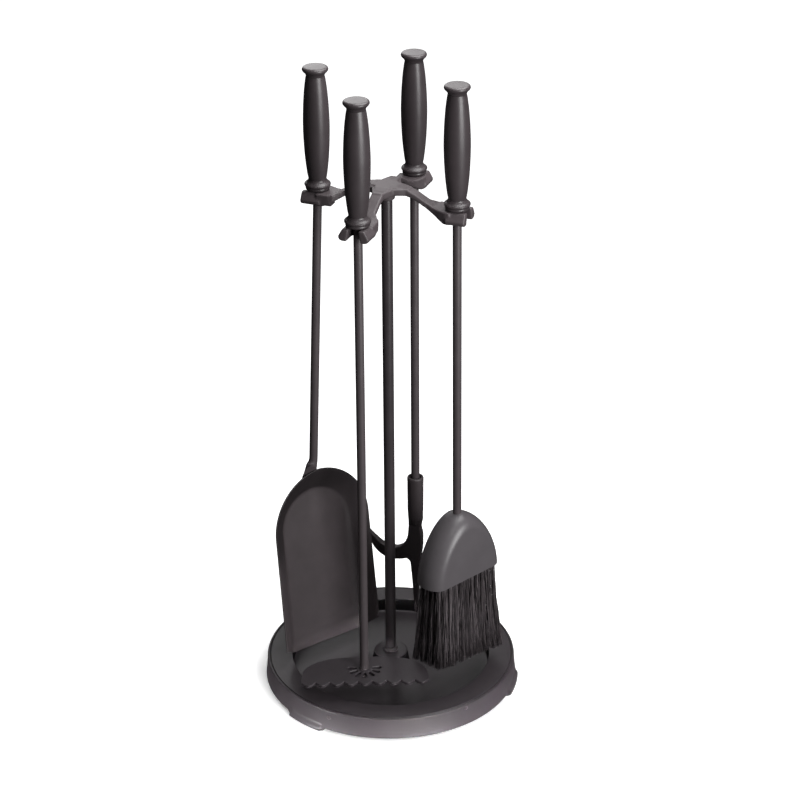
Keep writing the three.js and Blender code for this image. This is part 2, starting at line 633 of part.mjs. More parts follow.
function bristleBlock() {
  const { x, y } = POCKET_HALF;
  return turnBrush(new THREE.BoxGeometry(2 * (x - GAP), 2 * (y - GAP), 8)
    .translate(0, 0, HEAD_BOTTOM_Z + 11.7));
}

// Bristles as one ribbed tuft that spreads a little toward its tips.
function bristles() {
  const points = 48;
  const ring = (half, z, slope) => {
    const corners = [];
    for (let i = 0; i < points; i += 1) {
      const a = (2 * Math.PI * i) / points;
      const [c, s] = [Math.cos(a), Math.sin(a)];
      const inset = i % 2 === 0 ? 0.8 : 0;
      const x = (half.x - inset) * Math.sign(c) * Math.abs(c) ** (2 / TUFT_POWER);
      const y = (half.y - inset) * Math.sign(s) * Math.abs(s) ** (2 / TUFT_POWER);
      corners.push(vec(x, y, z + slope * x));
    }
    return corners;
  };
  return turnBrush(loft([
    ring(TUFT_HALF_BOTTOM, TUFT_BOTTOM_Z, TUFT_BOTTOM_SLOPE),
    ring(TUFT_HALF_TOP, HEAD_BOTTOM_Z, 0),
    ring(TUFT_HALF_TOP, HEAD_BOTTOM_Z + 7.4, 0),
  ]));
}

// ---- assembly ---------------------------------------------------------------------------------
const FINISH = {
  casting: { color: 0x2b2628, roughness: 0.55, metalness: 0.55 },
  rod: { color: 0x262223, roughness: 0.42, metalness: 0.6 },
  handle: { color: 0x242021, roughness: 0.38, metalness: 0.5 },
  sheet: { color: 0x2a2629, roughness: 0.5, metalness: 0.5 },
  fixing: { color: 0x3a3638, roughness: 0.45, metalness: 0.8 },
  moulding: { color: 0x2d2a2b, roughness: 0.6, metalness: 0.1 },
  bristle: { color: 0x121011, roughness: 0.85, metalness: 0 },
};

function piece(parent, name, geometry, finish) {
  geometry.computeVertexNormals();
  const material = new THREE.MeshStandardMaterial(FINISH[finish]);
  material.name = `${name}_${finish}`;
  const mesh = new THREE.Mesh(geometry, material);
  mesh.name = name;
  parent.add(mesh);
  return mesh;
}

// One group per hanging tool, its origin on the floor below the fork that holds it.
function toolGroup(parent, name, angle) {
  const group = new THREE.Group();
  group.name = name;
  group.position.set(TOOL_CIRCLE * Math.cos(rad(angle)), TOOL_CIRCLE * Math.sin(rad(angle)), 0);
  parent.add(group);
  piece(group, `${name}_collar`, collar(), 'handle');
  piece(group, `${name}_grip`, grip(), 'handle');
  piece(group, `${name}_cap`, endCap(), 'handle');
  return group;
}

const set = new THREE.Group();
set.name = 'fireplace_tool_set';

piece(set, 'base_casting', baseCasting(), 'casting');
piece(set, 'base_washer', lathe([
  [STUD_R + GAP, 18.1], [12, 18.1], [12, 19.7], [STUD_R + GAP, 19.7],
]), 'fixing');
piece(set, 'base_nut', hexNut(13, STUD_R + GAP, 11.3, 17.8), 'fixing');
piece(set, 'post', post(), 'rod');
piece(set, 'post_foot_bush', footBush(), 'rod');
piece(set, 'crown', crown(), 'casting');

toolGroup(set, 'shovel', 180);
piece(set, 'shovel_stud', shovelStud(), 'rod');
piece(set, 'shovel_shaft', shovelShaft(), 'rod');
const pan = piece(set, 'shovel_pan', shovelPan(), 'sheet');
const { across, up, out } = panAxes();
pan.quaternion.setFromRotationMatrix(new THREE.Matrix4().makeBasis(across, up, out));
pan.position.copy(PAN_ORIGIN);

const rake = toolGroup(set, 'rake', -90);
piece(rake, 'rake_shaft', rakeShaft(), 'rod');
piece(rake, 'rake_nut', rakeNut(), 'fixing');
piece(rake, 'rake_blade', rakeBlade(), 'casting').rotation.z = rad(RAKE_HEADING);

const poker = toolGroup(set, 'poker', 90);
piece(poker, 'poker_shaft', plainShaft(SOCKET_TOP_Z - SOCKET_DEPTH + GAP), 'rod');
piece(poker, 'poker_head', pokerHead(), 'casting');

const brush = toolGroup(set, 'brush', 0);
const hangPoint = vec(0, 0, COLLAR_BOTTOM_Z);
const lean = new THREE.Quaternion().setFromAxisAngle(vec(0, 1, 0), -rad(BRUSH_LEAN));
brush.quaternion.copy(lean);
brush.position.add(hangPoint.clone().sub(hangPoint.clone().applyQuaternion(lean)));
piece(brush, 'brush_shaft', plainShaft(HEAD_TOP_Z - SHAFT_DEPTH + GAP), 'rod');
piece(brush, 'brush_head', brushHead(), 'moulding');
piece(brush, 'brush_block', bristleBlock(), 'moulding');
piece(brush, 'brush_bristles', bristles(), 'bristle');

export default set;
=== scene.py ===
"""Fireplace tool set: fine meshes, materials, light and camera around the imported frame."""
import math
import random

import bpy
import numpy as np
from mathutils import Matrix, Vector


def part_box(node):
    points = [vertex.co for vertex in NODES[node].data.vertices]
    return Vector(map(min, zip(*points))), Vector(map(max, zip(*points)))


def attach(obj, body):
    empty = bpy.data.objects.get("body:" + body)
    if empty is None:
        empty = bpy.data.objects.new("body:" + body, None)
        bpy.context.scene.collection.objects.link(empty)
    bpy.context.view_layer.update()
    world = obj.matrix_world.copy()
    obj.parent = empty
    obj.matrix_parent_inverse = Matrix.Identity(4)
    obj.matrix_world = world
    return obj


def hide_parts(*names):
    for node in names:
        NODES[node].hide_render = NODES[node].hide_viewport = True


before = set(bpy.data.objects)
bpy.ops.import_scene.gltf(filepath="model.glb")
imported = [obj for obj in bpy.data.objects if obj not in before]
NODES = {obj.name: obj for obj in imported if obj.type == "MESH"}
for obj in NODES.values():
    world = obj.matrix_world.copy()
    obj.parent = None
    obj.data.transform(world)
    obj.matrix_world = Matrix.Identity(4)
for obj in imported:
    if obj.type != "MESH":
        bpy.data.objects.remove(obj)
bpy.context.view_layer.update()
MM = 0.001


# ---------------------------------------------------------------- places from the frame
def bottom_mm(node):
    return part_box(node)[0][2] / MM


def top_mm(node):
    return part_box(node)[1][2] / MM


TOOLS = ("shovel", "rake", "poker", "brush")
FORK_PAST_AXIS = 13.3                   # the crown's forks reach this far past the tools' axes
TOOL_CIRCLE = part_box("crown")[1][0] / MM - FORK_PAST_AXIS
AXIS = {
    "shovel": Vector((-TOOL_CIRCLE, 0, 0)),
    "rake": Vector((0, -TOOL_CIRCLE, 0)),
    "poker": Vector((0, TOOL_CIRCLE, 0)),
    "brush": Vector((TOOL_CIRCLE, 0, 0)),
}
HANG_Z = bottom_mm("rake_collar")       # the collars rest on the crown's forks here
BRUSH_LEAN = math.radians(-0.25)        # the hanging brush leans a little from plumb
LEAN = {
    "brush": Matrix.Translation(Vector((TOOL_CIRCLE, 0, HANG_Z)))
    @ Matrix.Rotation(BRUSH_LEAN, 4, "Y")
    @ Matrix.Translation(Vector((-TOOL_CIRCLE, 0, -HANG_Z))),
}


# ---------------------------------------------------------------- mesh helpers (millimetres)
TURNED_SHARP = 40                       # degrees; a turned piece keeps edges sharper than this


def new_object(name, verts, faces, material, body, replaced=(), matrix=None, sharp_angle=None):
    """A mesh from millimetre points, riding on a body and standing for CAD nodes."""
    points = [Vector(v) for v in verts]
    if matrix is not None:
        points = [matrix @ p for p in points]
    mesh = bpy.data.meshes.new(name)
    mesh.from_pydata([p * MM for p in points], [], faces)
    mesh.validate()
    mesh.update()
    mesh.polygons.foreach_set("use_smooth", [True] * len(mesh.polygons))
    obj = bpy.data.objects.new(name, mesh)
    bpy.context.scene.collection.objects.link(obj)
    if sharp_angle is not None:
        sharpen(obj, sharp_angle)
    mesh.materials.append(material)
    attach(obj, body)
    if replaced:
        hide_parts(*replaced)
    return obj


def sharpen(obj, degrees):
    """Smooth shading that breaks at edges sharper than this."""
    obj.data.set_sharp_from_angle(angle=math.radians(degrees))


def spline(points, step):
    """Centripetal Catmull-Rom curve through the points, sampled about every step."""
    pts = [np.asarray(p, float) for p in points]
    if len(pts) < 3:
        count = max(1, int(round(np.linalg.norm(pts[1] - pts[0]) / step)))
        return [pts[0] + (pts[1] - pts[0]) * k / count for k in range(count + 1)]
    ends = [2 * pts[0] - pts[1]] + pts + [2 * pts[-1] - pts[-2]]
    out = []
    for a, b, c, d in zip(ends, ends[1:], ends[2:], ends[3:]):
        t1 = np.linalg.norm(b - a) ** 0.5
        t2 = t1 + np.linalg.norm(c - b) ** 0.5
        t3 = t2 + np.linalg.norm(d - c) ** 0.5
        count = max(1, int(math.ceil(np.linalg.norm(c - b) / step)))
        for k in range(count):
            t = t1 + (t2 - t1) * k / count
            a1 = a + (b - a) * t / t1
            a2 = b + (c - b) * (t - t1) / (t2 - t1)
            a3 = c + (d - c) * (t - t2) / (t3 - t2)
            b1 = a1 + (a2 - a1) * t / t2
            b2 = a2 + (a3 - a2) * (t - t1) / (t3 - t1)
            out.append(b1 + (b2 - b1) * (t - t1) / (t2 - t1))
    out.append(pts[-1])
    return out


def profile(*runs, step=0.5):
    """An outline from smooth runs of points, with a corner where two runs meet."""
    outline = []
    for run in runs:
        curve = spline(run, step)
        if outline and np.linalg.norm(np.asarray(outline[-1]) - curve[0]) < 1e-6:
            curve = curve[1:]
        outline.extend(tuple(p) for p in curve)
    return outline


def lathe_data(outline, segments, closed=True, reshape=None):
    """Points and faces of an outline of (radius, z) turned about Z."""
    verts, rows = [], []
    for radius, z in outline:
        if radius < 1e-6:
            verts.append((0, 0, z))
            rows.append([len(verts) - 1] * segments)
            continue
        row = []
        for k in range(segments):
            a = 2 * math.pi * k / segments
            r, height = reshape(a, radius, z) if reshape else (radius, z)
            verts.append((r * math.cos(a), r * math.sin(a), height))
            row.append(len(verts) - 1)
        rows.append(row)
    pairs = list(zip(rows, rows[1:]))
    if closed:
        pairs.append((rows[-1], rows[0]))
    faces = []
    for low, high in pairs:
        for k in range(segments):
            n = (k + 1) % segments
            ring = [low[k], low[n], high[n], high[k]]
            corners = [v for i, v in enumerate(ring) if v not in ring[:i]]
            if len(corners) > 2:
                faces.append(corners)
    return verts, faces


def turned(name, outline, material, body, centre, segments, replaced, closed=True, matrix=None):
    """A turned piece from an anticlockwise outline of (radius, z), placed on its axis."""
    verts, faces = lathe_data(outline, segments, closed)
    place = Matrix.Translation(centre)
    if matrix is not None:
        place = matrix @ place
    return new_object(name, verts, faces, material, body, replaced, place, TURNED_SHARP)


def grid_faces(rows, cols, wrap=False, offset=0, flip=False):
    """Quads over a grid of vertices numbered row by row from offset."""
    faces = []
    width = cols if wrap else cols - 1
    for i in range(rows - 1):
        for j in range(width):
            n = (j + 1) % cols
            quad = [i * cols + j, i * cols + n, (i + 1) * cols + n, (i + 1) * cols + j]
            if flip:
                quad.reverse()
            faces.append([offset + v for v in quad])
    return faces


def swept(path, radii, sides, side):
    """A bar along a path; each radius is a pair, half the width along side and half across it."""
    verts = []
    points = [Vector(p) for p in path]
    for i, p in enumerate(points):
        ahead = points[min(i + 1, len(points) - 1)] - points[max(i - 1, 0)]
        ahead.normalize()
        across = (side - ahead * side.dot(ahead)).normalized()
        other = ahead.cross(across)
        for k in range(sides):
            a = 2 * math.pi * k / sides
            verts.append(p + across * radii[i][0] * math.cos(a) + other * radii[i][1] * math.sin(a))
    faces = grid_faces(len(points), sides, wrap=True)
    faces.append(list(range(sides))[::-1])
    faces.append([len(verts) - sides + k for k in range(sides)])
    return verts, faces


# ---------------------------------------------------------------- materials
def painted(name, colour, roughness, grain, grain_scale, mottle=0.09, metallic=0.0,
            specular=0.5):
    """Satin paint: mottled colour, uneven gloss and a fine grain in the surface."""
    material = bpy.data.materials.new(name)
    material.use_nodes = True
    tree = material.node_tree
    nodes, links = tree.nodes, tree.links
    shader = nodes["Principled BSDF"]
    shader.inputs["Metallic"].default_value = metallic
    shader.inputs["Specular IOR Level"].default_value = specular
    place = nodes.new("ShaderNodeTexCoord")

    broad = nodes.new("ShaderNodeTexNoise")
    broad.inputs["Scale"].default_value = 38
    broad.inputs["Detail"].default_value = 5
    broad.inputs["Roughness"].default_value = 0.6
    links.new(place.outputs["Object"], broad.inputs["Vector"])
    tint = nodes.new("ShaderNodeValToRGB")
    tint.color_ramp.elements[0].position = 0.3
    tint.color_ramp.elements[1].position = 0.7
    tint.color_ramp.elements[0].color = [c * (1 - mottle) for c in colour] + [1]
    tint.color_ramp.elements[1].color = [c * (1 + mottle) for c in colour] + [1]
    links.new(broad.outputs["Fac"], tint.inputs["Fac"])
    links.new(tint.outputs["Color"], shader.inputs["Base Color"])

    gloss = nodes.new("ShaderNodeMapRange")
    gloss.inputs["To Min"].default_value = roughness - 0.05
    gloss.inputs["To Max"].default_value = roughness + 0.07
    links.new(broad.outputs["Fac"], gloss.inputs["Value"])
    links.new(gloss.outputs["Result"], shader.inputs["Roughness"])

    fine = nodes.new("ShaderNodeTexNoise")
    fine.inputs["Scale"].default_value = grain_scale
    fine.inputs["Detail"].default_value = 4
    links.new(place.outputs["Object"], fine.inputs["Vector"])
    bump = nodes.new("ShaderNodeBump")
    bump.inputs["Strength"].default_value = 1
    bump.inputs["Distance"].default_value = grain * MM
    links.new(fine.outputs["Fac"], bump.inputs["Height"])
    links.new(bump.outputs["Normal"], shader.inputs["Normal"])
    return material


PAINT = (0.050, 0.041, 0.044)
CASTING = painted("casting_paint", (0.068, 0.056, 0.060), 0.5, 0.05, 900)
FORGING = painted("forging_paint", PAINT, 0.5, 0.05, 900)
BASE = painted("base_paint", (0.036, 0.030, 0.034), 0.43, 0.05, 700)
# near-black painted shade for the recess and hub walls, which stand in deep shade
RECESS_WALL_SHADE = painted("recess_wall_painted_shade", (0.004, 0.0035, 0.004), 0.75, 0.04, 700, specular=0.1)
ROD = painted("rod_paint", (0.070, 0.059, 0.063), 0.38, 0.015, 1500)
POST = painted("post_paint", (0.040, 0.034, 0.037), 0.3, 0.01, 1500)
HANDLE = painted("handle_paint", (0.046, 0.038, 0.041), 0.36, 0.012, 1500)
SHEET = painted("sheet_paint", PAINT, 0.46, 0.02, 900)
MOULDING = painted("head_moulding", (0.092, 0.084, 0.090), 0.37, 0.015, 1200, mottle=0.05)
FIXING = painted("zinc_fixing", (0.35, 0.34, 0.33), 0.4, 0.01, 1500, metallic=1.0)


def shade_by_attribute(material, attribute, share):
    """Darken a painted material where a point attribute of the mesh says so."""
    nodes, links = material.node_tree.nodes, material.node_tree.links
    shader = nodes["Principled BSDF"]
    paint = shader.inputs["Base Color"].links[0].from_socket
    shade = nodes.new("ShaderNodeAttribute")
    shade.attribute_name = attribute
    depth = nodes.new("ShaderNodeMapRange")
    depth.inputs["To Min"].default_value = 1.0
    depth.inputs["To Max"].default_value = 1 - share
    links.new(shade.outputs["Fac"], depth.inputs["Value"])
    darker = nodes.new("ShaderNodeVectorMath")
    darker.operation = "SCALE"
    links.new(paint, darker.inputs[0])
    links.new(depth.outputs["Result"], darker.inputs["Scale"])
    links.new(darker.outputs["Vector"], shader.inputs["Base Color"])


# the pan's back wall, which faces down, gets painted shade past the fold
shade_by_attribute(SHEET, "painted_wall_shade", 0.62)


def bristle_material():
    """Dark fibre whose colour changes from strand to strand."""
    material = bpy.data.materials.new("bristle_fibre")
    material.use_nodes = True
    nodes, links = material.node_tree.nodes, material.node_tree.links
    shader = nodes["Principled BSDF"]
    shader.inputs["Roughness"].default_value = 0.55
    shader.inputs["Specular IOR Level"].default_value = 0.35
    strand = nodes.new("ShaderNodeAttribute")
    strand.attribute_name = "strand_tone"
    tone = nodes.new("ShaderNodeValToRGB")
    tone.color_ramp.elements[0].color = (0.008, 0.006, 0.007, 1)
    tone.color_ramp.elements[1].color = (0.19, 0.165, 0.175, 1)
    links.new(strand.outputs["Fac"], tone.inputs["Fac"])
    links.new(tone.outputs["Color"], shader.inputs["Base Color"])
    place = nodes.new("ShaderNodeTexCoord")
    streak = nodes.new("ShaderNodeTexNoise")
    streak.inputs["Scale"].default_value = 900
    links.new(place.outputs["Object"], streak.inputs["Vector"])
    bump = nodes.new("ShaderNodeBump")
    bump.inputs["Distance"].default_value = 0.03 * MM
    links.new(streak.outputs["Fac"], bump.inputs["Height"])
    links.new(bump.outputs["Normal"], shader.inputs["Normal"])
    return material


BRISTLE = bristle_material()


# ---------------------------------------------------------------- base
RIM_R = 139.0
FOOT_R = -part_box("base_casting")[0][0] / MM
PAD_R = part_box("base_casting")[1][0] / MM - 0.2
HUB_TOP_Z = top_mm("base_casting")
RIM_Z = HUB_TOP_Z - 1.5
GROOVE_R = 136.2                        # a fine groove just inside the rim's edge
RECESS_R = 110.7
RECESS_Z = 12.0
HUB_TOP_R = 18.6
HUB_ROOT_R = 21.5
STUD_HOLE_R = 3.9
SOCKET_R, SOCKET_Z = 15, 20             # the hub is hollow below this height
UNDERSIDE_Z = RECESS_Z - 4.5            # the casting's hollow underside
CHANNEL_TOP_Z = RIM_Z - 4.5             # roof of the channel under the rim
FOOT_ANGLES = [math.radians(a) for a in (-110.4, 9.6, 129.6)]
FOOT_HALF_SPAN = math.radians(10.3)
BASE_SEGMENTS = 720
WALL_LIFT = 3.5
FOOT_RAMP = math.radians(1.4)           # the wall's lower edge ramps down to each foot
PAD_TOP_Z = 8.5                         # the feet swell out of the wall below this height
PAD_FULL_Z = 2.2                        # and reach all the way out below this one
WALL_INNER_R = 130                      # what lies inside this radius isn't part of the wall


FILLET_STEPS = 6


def fillet(corner, before, after, radius):
    """Arc points that round the corner of an outline."""
    c, p, q = (np.asarray(v, float) for v in (corner, before, after))
    u = (p - c) / np.linalg.norm(p - c)
    v = (q - c) / np.linalg.norm(q - c)
    half = math.acos(max(-1, min(1, float(u @ v)))) / 2
    reach = radius / math.tan(half)
    centre = c + (u + v) / np.linalg.norm(u + v) * radius / math.sin(half)
    start, end = c + u * reach - centre, c + v * reach - centre
    swing = math.acos(max(-1, min(1, float(start @ end) / radius ** 2)))
    points = []
    for k in range(FILLET_STEPS + 1):
        t = k / FILLET_STEPS
        mix = (math.sin((1 - t) * swing) * start + math.sin(t * swing) * end) / math.sin(swing)
        points.append(tuple(centre + mix))
    return points


def rounded(corners):
    """A closed outline from (radius, z, fillet radius) corners."""
    points = []
    count = len(corners)
    for i, (r, z, round_r) in enumerate(corners):
        if round_r <= 0:
            points.append((r, z))
            continue
        before = corners[i - 1][:2]
        after = corners[(i + 1) % count][:2]
        points.extend(fillet((r, z), before, after, round_r))
    return points


def smooth_step(t):
    """0 to 1 with level ends."""
    t = min(1, max(0, t))
    return t * t * (3 - 2 * t)


def wall_foot(angle, radius, z):
    """The wall stands off the floor between the feet, and each foot swells out of it."""
    if z > PAD_TOP_Z or radius < WALL_INNER_R:
        return radius, z
    away = min(abs((angle - a + math.pi) % (2 * math.pi) - math.pi) for a in FOOT_ANGLES)
    off_foot = smooth_step((away - FOOT_HALF_SPAN) / FOOT_RAMP)
    if radius > FOOT_R - 3:
        in_pad = 1 - smooth_step((away - FOOT_HALF_SPAN + FOOT_RAMP) / FOOT_RAMP)
        low = 1 - smooth_step((z - PAD_FULL_Z) / (PAD_TOP_Z - PAD_FULL_Z))
        radius += (PAD_R - FOOT_R) * in_pad * low
    return radius, z + WALL_LIFT * off_foot * max(0, 1 - z / PAD_TOP_Z)


def build_base():
    """The casting, turned from its outline; its feet come out of the wall."""
    # the lower rings are close together, so that the feet can swell out between them
    rings = (2.4, 3.8, 5.2, 6.8, 8.6, 9.4, 11, 15, 21)
    wall = [(FOOT_R - (FOOT_R - RIM_R) * z / RIM_Z, z, 0) for z in rings]
    outline = rounded([
        (FOOT_R, 0, 0.8), *wall, (RIM_R + 0.3, RIM_Z, 1.7),
        (GROOVE_R + 0.9, RIM_Z, 0.3), (GROOVE_R, RIM_Z - 1.3, 0.3), (GROOVE_R - 0.9, RIM_Z, 0.3),
        (RECESS_R + 0.3, RIM_Z, 0.9),
        (RECESS_R - 0.6, RECESS_Z, 2.6), (HUB_ROOT_R, RECESS_Z, 2.2),
        (HUB_TOP_R, HUB_TOP_Z, 1.4), (STUD_HOLE_R, HUB_TOP_Z, 0.3), (STUD_HOLE_R, SOCKET_Z, 0),
        (SOCKET_R, SOCKET_Z, 0), (SOCKET_R + 0.6, UNDERSIDE_Z, 0),
        (RECESS_R + 4.2, UNDERSIDE_Z, 0), (RECESS_R + 4.2, CHANNEL_TOP_Z, 0),
        (FOOT_R - 7.6, CHANNEL_TOP_Z, 0),
        (FOOT_R - 6, 0, 0.8),
    ])
    verts, faces = lathe_data(outline, BASE_SEGMENTS, True, wall_foot)
    base = new_object("base", verts, faces, BASE, "stand", ["base_casting"],
                      sharp_angle=TURNED_SHARP)
    # the near-vertical walls of the recess and of the hub are painted near black: painted shade, as
    # they stand in deep shade
    base.data.materials.append(RECESS_WALL_SHADE)
    for face in base.data.polygons:
        c = face.center / MM
        r = math.hypot(c.x, c.y)
        steep = abs(face.normal.z) < 0.5
        if steep and RECESS_Z + 1.5 < c.z < RIM_Z - 0.3 and HUB_TOP_R - 0.6 < r < RECESS_R + 0.8:
            face.material_index = 1


def build_pip(name, angle, z):
    """A small dome-headed pip on the base's outer wall."""
    dome = [(0, 0), (2.4, 0), (2.3, 1.0), (1.5, 1.9), (0, 2.3)]
    verts, faces = lathe_data(profile(dome[:2], dome[1:], step=0.2), 24)
    a = math.radians(angle)
    wall_r = FOOT_R + (RIM_R - FOOT_R) * z / RIM_Z - 0.5
    out = Vector((math.cos(a), math.sin(a), 0))
    turn = out.to_track_quat("Z", "Y").to_matrix().to_4x4()
    place = Matrix.Translation(out * wall_r + Vector((0, 0, z))) @ turn
    new_object(name, verts, faces, ROD, "stand", matrix=place)


build_base()
build_pip("base_pip_front", -97, 19)
build_pip("base_pip_side", -32, 24)

# ---------------------------------------------------------------- post
POST_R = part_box("post")[1][0] / MM
POST_BOTTOM = bottom_mm("post_foot_bush")
CROWN_SOCKET = 13.4                     # how far the post's top is let into the crown
POST_TOP = bottom_mm("crown") + CROWN_SOCKET
POST_SEGMENTS = 64


def build_post():
    """The post and the ring around its foot."""
    outline = rounded([
        (0, POST_BOTTOM, 0), (POST_R, POST_BOTTOM, 0.5), (POST_R, POST_TOP, 0.5),
        (0, POST_TOP, 0),
    ])
    turned("post_bar", outline, POST, "stand", Vector(), POST_SEGMENTS, ["post"], False)
    z0, z1 = POST_BOTTOM, top_mm("post_foot_bush")
    r1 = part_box("post_foot_bush")[1][0] / MM
    bush = rounded([(POST_R + 0.2, z0, 0), (r1, z0, 0.5), (r1, z1, 1.3), (POST_R + 0.2, z1, 0.3)])
    turned("foot_bush", bush, POST, "stand", Vector(), POST_SEGMENTS, ["post_foot_bush"])


build_post()


# ---------------------------------------------------------------- softened casts of CAD shapes
def softened(name, node, material, voxel, passes, regain, body):
    """A cast or forged piece: the CAD node's shape, evened out and rounded over."""
    source = NODES[node]
    mesh = source.data.copy()
    mesh.name = name
    obj = bpy.data.objects.new(name, mesh)
    bpy.context.scene.collection.objects.link(obj)
    mesh.materials.clear()
    remesh = obj.modifiers.new("even", "REMESH")
    remesh.mode = "VOXEL"
    remesh.voxel_size = voxel * MM
    relax = obj.modifiers.new("round", "SMOOTH")
    relax.factor = 0.5
    relax.iterations = passes
    swell = obj.modifiers.new("swell", "DISPLACE")
    swell.mid_level = 0
    swell.strength = regain * MM         # what the rounding took off the faces
    bpy.context.view_layer.update()
    ready = bpy.data.meshes.new_from_object(obj.evaluated_get(
        bpy.context.evaluated_depsgraph_get()))
    obj.modifiers.clear()
    obj.data = ready
    ready.polygons.foreach_set("use_smooth", [True] * len(ready.polygons))
    ready.materials.clear()
    ready.materials.append(material)
    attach(obj, body)
    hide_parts(node)


softened("crown_casting", "crown", CASTING, 0.8, 6, 0.15, "stand")
softened("poker_forging", "poker_head", FORGING, 0.65, 8, 0.1, "poker")


# ---------------------------------------------------------------- handles
HANDLE_SEGMENTS = 96


def build_handle(tool):
    """Collar, grip and cap, from outlines of radius and height above the floor."""
    centre = AXIS[tool]
    lean = LEAN.get(tool)
    collar = profile(
        [(3.3, 577.8), (11.2, 577.8)],
        [(11.2, 577.8), (12.3, 578.4), (12.7, 579.6), (12.4, 580.9), (11.9, 581.5)],
        [(11.9, 581.5), (13.2, 581.8), (13.85, 583.0), (13.7, 584.2), (12.7, 585.2),
         (11.3, 586.2), (10.2, 587.6), (9.6, 589.2)],
        [(9.6, 589.2), (3.3, 589.2)],
    )
    grip = profile(
        [(3.3, 589.4), (9.4, 589.4)],
        [(9.4, 589.4), (9.7, 591), (10.3, 594), (11.1, 600), (12.15, 609.5), (12.9, 619),
         (13.45, 629), (13.78, 639), (13.9, 649), (13.6, 661), (13.15, 671), (12.5, 680),
         (11.85, 687.5), (11.1, 693.5), (10.4, 698.5), (9.75, 701.6)],
        [(9.75, 701.6), (3.3, 701.6)],
    )
    cap = profile(
        [(3.3, 701.8), (9.6, 701.8)],
        [(9.6, 701.8), (10.1, 703.3), (11.2, 705.0), (12.7, 706.5), (13.5, 707.8),
         (13.6, 708.9), (13.1, 710.2), (12.1, 711.0), (10.8, 711.35)],
        [(10.8, 711.35), (5, 711.48), (0, 711.5)],
        [(0, 711.5), (0, 706.8)],
        [(0, 706.8), (3.3, 706.8)],
        step=0.4,
    )
    for part, outline in (("collar", collar), ("grip", grip), ("cap", cap)):
        turned(f"{tool}_{part}_turned", outline, HANDLE, tool, centre, HANDLE_SEGMENTS,
               [f"{tool}_{part}"], True, lean)


for tool_name in TOOLS:
    build_handle(tool_name)

# ---------------------------------------------------------------- straight shafts
ROD_R = 4.75
ROD_SIDES = 48
ROD_TOP_Z = HANG_Z - 0.3                # just under the collar


def build_shaft(tool, foot_z):
    """A straight bar from under its collar down to foot_z."""
    outline = rounded([(0, foot_z, 0), (ROD_R, foot_z, 0.4), (ROD_R, ROD_TOP_Z, 0.3),
                       (0, ROD_TOP_Z, 0)])
    turned(f"{tool}_bar", outline, ROD, tool, AXIS[tool], ROD_SIDES, [f"{tool}_shaft"], False,
           LEAN.get(tool))


RAKE_TOP_Z = top_mm("rake_blade")
build_shaft("rake", RAKE_TOP_Z - 0.1)
build_shaft("poker", bottom_mm("poker_shaft"))
build_shaft("brush", bottom_mm("brush_shaft"))

# ---------------------------------------------------------------- shovel
PAN_HEADING = math.radians(64.4)
PAN_TILT = math.radians(11.5)
PAN_ROLL = math.radians(-4.2)
PAN_ORIGIN = Vector((-94.6, 8.1, 169))
PAN_HALF = 46.8
PAN_ARCH = PAN_HALF * 0.88
PAN_LENGTH = 140.2
PAN_FLARE = 1.2
PAN_SHEET = 1.6
PAN_FOLD_TIGHT = 4.0
PAN_FOLD_SOFT = 9.0
FOLD_SOFTENS_AT, FOLD_SOFTENS_OVER = 0.6, 0.2
SIDE_OUT, SIDE_RISE = 20.6, 15.6
BACK_OUT, BACK_RISE = 25.4, 16.8
WALL_CUT_BACK = 10.5
SIDE_SHARE = 0.34                       # each side wall's share of the contour
PAN_ROWS = 84
# how far the painted shade on the back wall begins along the left and the right half, and over what
# length
WALL_SHADE_LEFT, WALL_SHADE_RIGHT, WALL_SHADE_FADE = 0.2, 0.36, 0.12
WALL_SHADE_FOLD, WALL_SHADE_FOLD_FADE = 1.35, 0.4   # and where it begins across the fold


def pan_frame():
    """The pan's own axes: across it, up along it and out of its open face."""
    level = Vector((math.cos(PAN_HEADING), math.sin(PAN_HEADING), 0))
    front = Vector((math.sin(PAN_HEADING), -math.cos(PAN_HEADING), 0))
    tilt = Matrix.Rotation(-PAN_TILT, 3, level)
    up, out = tilt @ Vector((0, 0, 1)), tilt @ front
    roll = Matrix.Rotation(PAN_ROLL, 3, out)
    return roll @ level, roll @ up, out


ACROSS, UP, OUT = pan_frame()
PAN_MATRIX = Matrix((
    (ACROSS.x, UP.x, OUT.x, PAN_ORIGIN.x),
    (ACROSS.y, UP.y, OUT.y, PAN_ORIGIN.y),
    (ACROSS.z, UP.z, OUT.z, PAN_ORIGIN.z),
    (0, 0, 0, 1),
))


def pan_contour(t):
    """Fold, free edge and spine points where t runs from the left lip to the right lip."""
    def side(u, sign):
        y = -PAN_LENGTH * (1 - u)
        half = PAN_HALF + PAN_FLARE * (1 - u)
        edge = (sign * (half + SIDE_OUT), y + WALL_CUT_BACK * (1 - u), SIDE_RISE)
        return (sign * half, y, 0), edge, (0, y, 0)

    if t <= SIDE_SHARE:
        return side(t / SIDE_SHARE, -1)
    if t >= 1 - SIDE_SHARE:
        return side((1 - t) / SIDE_SHARE, 1)
    angle = math.pi * (1 - (t - SIDE_SHARE) / (1 - 2 * SIDE_SHARE))
    c, s = math.cos(angle), math.sin(angle)
    k = abs(c)
    out = BACK_OUT + (SIDE_OUT - BACK_OUT) * k
    rise = BACK_RISE + (SIDE_RISE - BACK_RISE) * k
    return (
        (PAN_HALF * c, PAN_ARCH * s, 0),
        ((PAN_HALF + out) * c, (PAN_ARCH + out) * s, rise),
        (0, 0.55 * PAN_ARCH * s, 0),
    )


def fold_reach(t):
    """The fold is tight at the left wall and the arch, and softer at the right wall."""
    softer = smooth_step((t - FOLD_SOFTENS_AT) / FOLD_SOFTENS_OVER)
    return PAN_FOLD_TIGHT + (PAN_FOLD_SOFT - PAN_FOLD_TIGHT) * softer


